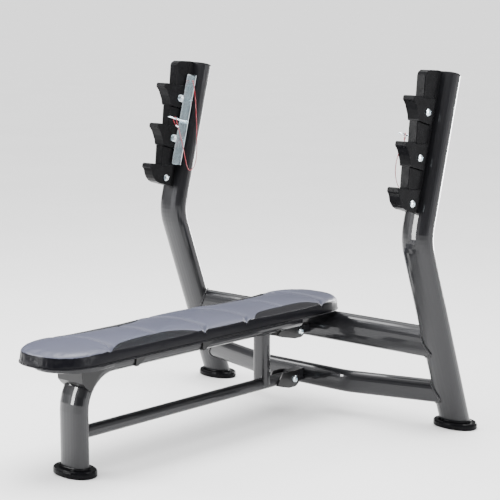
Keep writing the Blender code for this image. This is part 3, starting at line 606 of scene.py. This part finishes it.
def inflate(made, pinned, most):
    """Blows the piece up by cloth pressure with some points held, and caps how far any point may go."""
    before = coordinates(made.data)
    group = made.vertex_groups.new(name="held")
    group.add([int(i) for i in np.flatnonzero(pinned)], 1.0, "REPLACE")
    cloth = made.modifiers.new("puff", "CLOTH")
    cloth.settings.quality = 5
    cloth.settings.mass = 0.15
    cloth.settings.tension_stiffness = cloth.settings.compression_stiffness = 12
    cloth.settings.shear_stiffness = 8
    cloth.settings.bending_stiffness = 0.4
    cloth.settings.use_pressure = True
    cloth.settings.uniform_pressure_force = 4
    cloth.settings.vertex_group_mass = "held"
    cloth.settings.effector_weights.gravity = 0
    cloth.collision_settings.use_collision = False
    cloth.point_cache.frame_end = 20
    for step in range(1, 21):
        bpy.context.scene.frame_set(step)
    apply_modifiers(made)
    bpy.context.scene.frame_set(1)
    move = coordinates(made.data) - before
    reach = np.linalg.norm(move, axis=1, keepdims=True)
    limited = most * np.tanh(reach / most) / np.maximum(reach, 1e-9)
    set_coordinates(made.data, before + move * limited)
    made.vertex_groups.clear()


def split_along(bm, value_of):
    """Cuts the faces along the line where a value of the place is zero, so that two finishes meet cleanly."""
    points = np.array([v.co for v in bm.verts])
    values = value_of(points)
    for v, value in zip(bm.verts, values):
        v.tag = value > 0
    bm.verts.ensure_lookup_table()
    values = {v: float(value) for v, value in zip(bm.verts, values)}
    fresh = set()
    for edge in [e for e in bm.edges if e.verts[0].tag != e.verts[1].tag]:
        a, b = edge.verts
        part = abs(values[a]) / (abs(values[a]) + abs(values[b]))
        if part < 0.04 or part > 0.96:
            near = a if part < 0.5 else b
            fresh.add(near)
            continue
        made = bmesh.utils.edge_split(edge, a, part)[1]
        fresh.add(made)
    for face in list(bm.faces):
        cut = [v for v in face.verts if v in fresh]
        if len(cut) == 2 and not any(e in face.edges for e in cut[0].link_edges if e.other_vert(cut[0]) is cut[1]):
            bmesh.utils.face_split(face, cut[0], cut[1])


def carve(points):
    """Valleys along the seams, the side scoops, and the line where the blue top meets the black sides."""
    seam, scoop, inset = np.abs(seam_distance(points)), scoop_depth(points), pad_inset(points)
    raised = crown(points)
    points[:, 2] += raised * soft_step((points[:, 2] - PAD_BOTTOM - 0.010) / 0.030)
    high = soft_step((points[:, 2] - (PAD_BOTTOM + 0.020)) / 0.018)
    rim = (np.abs(points[:, 0]) / PAD_HALF) ** 2
    on_blue = soft_step((0.004 - scoop) / 0.008)
    stitch_line = STITCH_DEPTH * np.exp(-((seam / 0.0042) ** 2))
    valley = (VALLEY_DEPTH + 0.0030 * rim) * np.exp(-((seam / 0.010) ** 2)) + stitch_line
    points[:, 2] -= valley * high * on_blue
    # The side scoops are cut off below the padding, with a crease where they meet the sides.
    step_down = 0.0040 * soft_step((scoop + 0.001) / 0.010) + 0.0030 * np.clip(scoop / 0.06, 0, 1)
    roof = PAD_TOP - 0.0010 + raised - step_down
    points[:, 2] = np.where(scoop > -0.001, np.minimum(points[:, 2], roof), points[:, 2])
    points[:, 2] -= 0.0012 * np.exp(-((np.abs(scoop) / 0.0035) ** 2)) * (inset > 0.004)
    return points


def side_seam(points):
    """Positive on the blue top, zero on the line where it is sewn to the black sides."""
    inset = pad_inset(points)
    return np.minimum(-scoop_depth(points), np.minimum(inset - 0.0055, points[:, 2] - (PAD_TOP - 0.017)))


def cushion():
    levels = [
        (0.0005, PAD_BOTTOM), (0.0005, PAD_BOTTOM + 0.004), (0.0010, PAD_BOTTOM + 0.012),
        (0.0010, PAD_TOP - 0.009), (0.0035, PAD_TOP - 0.0045), (0.0080, PAD_TOP - 0.0030),
        (0.0150, PAD_TOP - 0.0030),
    ]
    bm = lofted(levels)
    mesh = bpy.data.meshes.new("pad")
    bm.to_mesh(mesh)
    bm.free()
    made = bpy.data.objects.new("pad", mesh)
    bpy.context.scene.collection.objects.link(made)
    remesh = made.modifiers.new("even", "REMESH")
    remesh.mode, remesh.voxel_size = "VOXEL", 0.006
    apply_modifiers(made)
    points = coordinates(made.data)
    stitched = (np.abs(seam_distance(points)) < 0.004) | (np.abs(scoop_depth(points)) < 0.004)
    low = points[:, 2] < PAD_BOTTOM + 0.006
    inflate(made, stitched & (points[:, 2] > PAD_TOP - 0.02) | low, PUFF_LIMIT)
    made.modifiers.new("finer", "SUBSURF").levels = 1
    made.modifiers["finer"].render_levels = 1
    apply_modifiers(made)
    set_coordinates(made.data, carve(coordinates(made.data)))
    bm = bmesh.new()
    bm.from_mesh(made.data)
    split_along(bm, side_seam)
    middles = np.array([f.calc_center_median() for f in bm.faces])
    top = side_seam(middles) > 0
    for face, blue in zip(bm.faces, top):
        face.material_index = 0 if blue and face.normal.z > -0.2 else 1
        face.smooth = True
    bm.to_mesh(made.data)
    bm.free()
    # The board sits up into the underside, and the vinyl is wrapped round its edge.
    tray = lofted([(BOARD_INSET, PAD_BOTTOM - 0.03), (BOARD_INSET, BOARD_TOP + 0.0003)])
    tray_mesh = bpy.data.meshes.new("tray")
    tray.to_mesh(tray_mesh)
    tray.free()
    tray_object = bpy.data.objects.new("tray", tray_mesh)
    bpy.context.scene.collection.objects.link(tray_object)
    cut = made.modifiers.new("tray", "BOOLEAN")
    cut.operation, cut.object, cut.solver = "DIFFERENCE", tray_object, "EXACT"
    made.data.materials.append(BLUE_VINYL)
    made.data.materials.append(BLACK_VINYL)
    tray_mesh.materials.append(BLUE_VINYL)
    tray_mesh.materials.append(BLACK_VINYL)
    for polygon in tray_mesh.polygons:
        polygon.material_index = 1
    apply_modifiers(made)
    bpy.data.objects.remove(tray_object, do_unlink=True)
    made.data.shade_smooth()
    made.data.set_sharp_from_angle(angle=math.radians(70))
    made.name = "pad_upholstery"
    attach(made, BENCH)
    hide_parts("pad_cushion")
    return made


pad = cushion()
bm = bmesh.new()
edge = [(x, y, PAD_BOTTOM + 0.0016) for x, y in pad_outline(0.0005)]
tube(bm, resample(edge, 0.008), lambda i: PIPING_RADIUS, closed=True)
piece("pad_piping", bm, BLACK_VINYL)


# ---------------------------------------------------------------- lanyards
HALF_SPAN = middle("right_upright").x
RACK_LEAN = Vector(next(j for j in frame["joints"] if j["name"] == "left_pin_slide")["axis"]).normalized()
RACK_UP = RACK_LEAN.cross(Vector((1, 0, 0))).normalized()
if RACK_UP.z < 0:
    RACK_UP = -RACK_UP
PIN_INWARD = 0.0393
PIN_DROP = 0.243
NOOSE = 0.0057
CORD_RADIUS = 0.0014
LANYARD_TOP = [
    (PIN_INWARD, 0.0475, -0.0800), (PIN_INWARD, 0.0560, -0.0800), (PIN_INWARD + 0.008, 0.0610, -0.0850),
    (0.0560, 0.0565, -0.105), (0.0610, 0.0440, -0.150), (0.0640, 0.0260, -0.210), (0.0655, 0.0080, -0.275),
]
LANYARD_HANG = {
    "left": [
        (0.0655, -0.0080, -0.335), (0.0655, -0.0150, -0.380), (0.0665, -0.0070, -0.412), (0.0670, 0.0110, -0.426),
        (0.0665, 0.0290, -0.415), (0.0640, 0.0480, -0.380), (0.0590, 0.0680, -0.335), (0.0530, 0.0870, -0.296),
    ],
    "right": [
        (0.0660, -0.0070, -0.330), (0.0665, -0.0130, -0.372), (0.0675, -0.0060, -0.405), (0.0685, 0.0120, -0.425),
        (0.0695, 0.0380, -0.427), (0.0700, 0.0640, -0.412), (0.0695, 0.0860, -0.385), (0.0670, 0.0990, -0.352),
        (0.0625, 0.1040, -0.320), (0.0560, 0.1030, -0.292),
    ],
}
LANYARD_NOOSE = [
    (0.0480, 0.1010, -0.268), (PIN_INWARD + NOOSE, 0.1090, -0.2500), (PIN_INWARD + NOOSE, 0.1110, -PIN_DROP),
    (PIN_INWARD + NOOSE * 0.7, 0.1122, -PIN_DROP + NOOSE * 0.72), (PIN_INWARD, 0.1135, -PIN_DROP + NOOSE * 1.02),
    (PIN_INWARD - NOOSE * 0.7, 0.1148, -PIN_DROP + NOOSE * 0.72), (PIN_INWARD - NOOSE, 0.1160, -PIN_DROP),
    (PIN_INWARD - NOOSE + 0.0005, 0.1150, -0.2500), (PIN_INWARD + 0.001, 0.1110, -0.2620),
    (0.0450, 0.1045, -0.2740),
]
POST_TOP = Vector((0, 0.6087, 1.280))  # middle of the upright's top end, at x = 0


def in_rack(side, inward, forward, up):
    sign = SIDES[side]
    return Vector((sign * (HALF_SPAN - inward), 0, 0)) + POST_TOP + RACK_LEAN * forward + RACK_UP * up


def smooth_path(points, step):
    """A curve through the points, with a point about every step."""
    points = [Vector(p) for p in points]
    row = [2 * points[0] - points[1], *points, 2 * points[-1] - points[-2]]
    found = [points[0]]
    for a, b, c, d in zip(row, row[1:], row[2:], row[3:]):
        count = max(1, round((c - b).length / step))
        for i in range(1, count + 1):
            found.append(between(a, b, c, d, i / count))
    return found


def ferrule(name, place, along, length, radius, body):
    """A crimped sleeve: a short tube with two squeezed rings."""
    bm = bmesh.new()
    along = along.normalized()
    steps = 14
    points = [place + along * (length * (i / steps - 0.5)) for i in range(steps + 1)]
    squeeze = lambda i: radius * (0.86 if i in (3, 4, 10, 11) else 0.93 if i in (0, steps) else 1.0)
    tube(bm, points, squeeze, sides=14)
    return piece(name, bm, ZINC, body)


for side in SIDES:
    route = smooth_path([in_rack(side, *p) for p in LANYARD_TOP + LANYARD_HANG[side] + LANYARD_NOOSE], 0.0105)
    fine = smooth_path(route, 0.0035)
    bm = bmesh.new()
    tube(bm, fine, lambda i: CORD_RADIUS, sides=10)
    cord = piece(f"{side}_lanyard_cord", bm, CORD_RED, None)
    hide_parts(f"{side}_lanyard")
    # One sleeve crimps the noose, the other stops the cord behind the bracket's flange.
    tail, standing = in_rack(side, *LANYARD_NOOSE[-2]), in_rack(side, *LANYARD_NOOSE[0])
    place = (in_rack(side, *LANYARD_NOOSE[-1]) + standing) / 2
    crimp = ferrule(f"{side}_noose_crimp", place, tail - standing, 0.012, 0.0030, f"{side}_pin")
    place = in_rack(side, PIN_INWARD, 0.0485, -0.080)
    stop = ferrule(f"{side}_anchor_crimp", place, RACK_LEAN, 0.004, 0.0034, BENCH)
    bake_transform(cord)
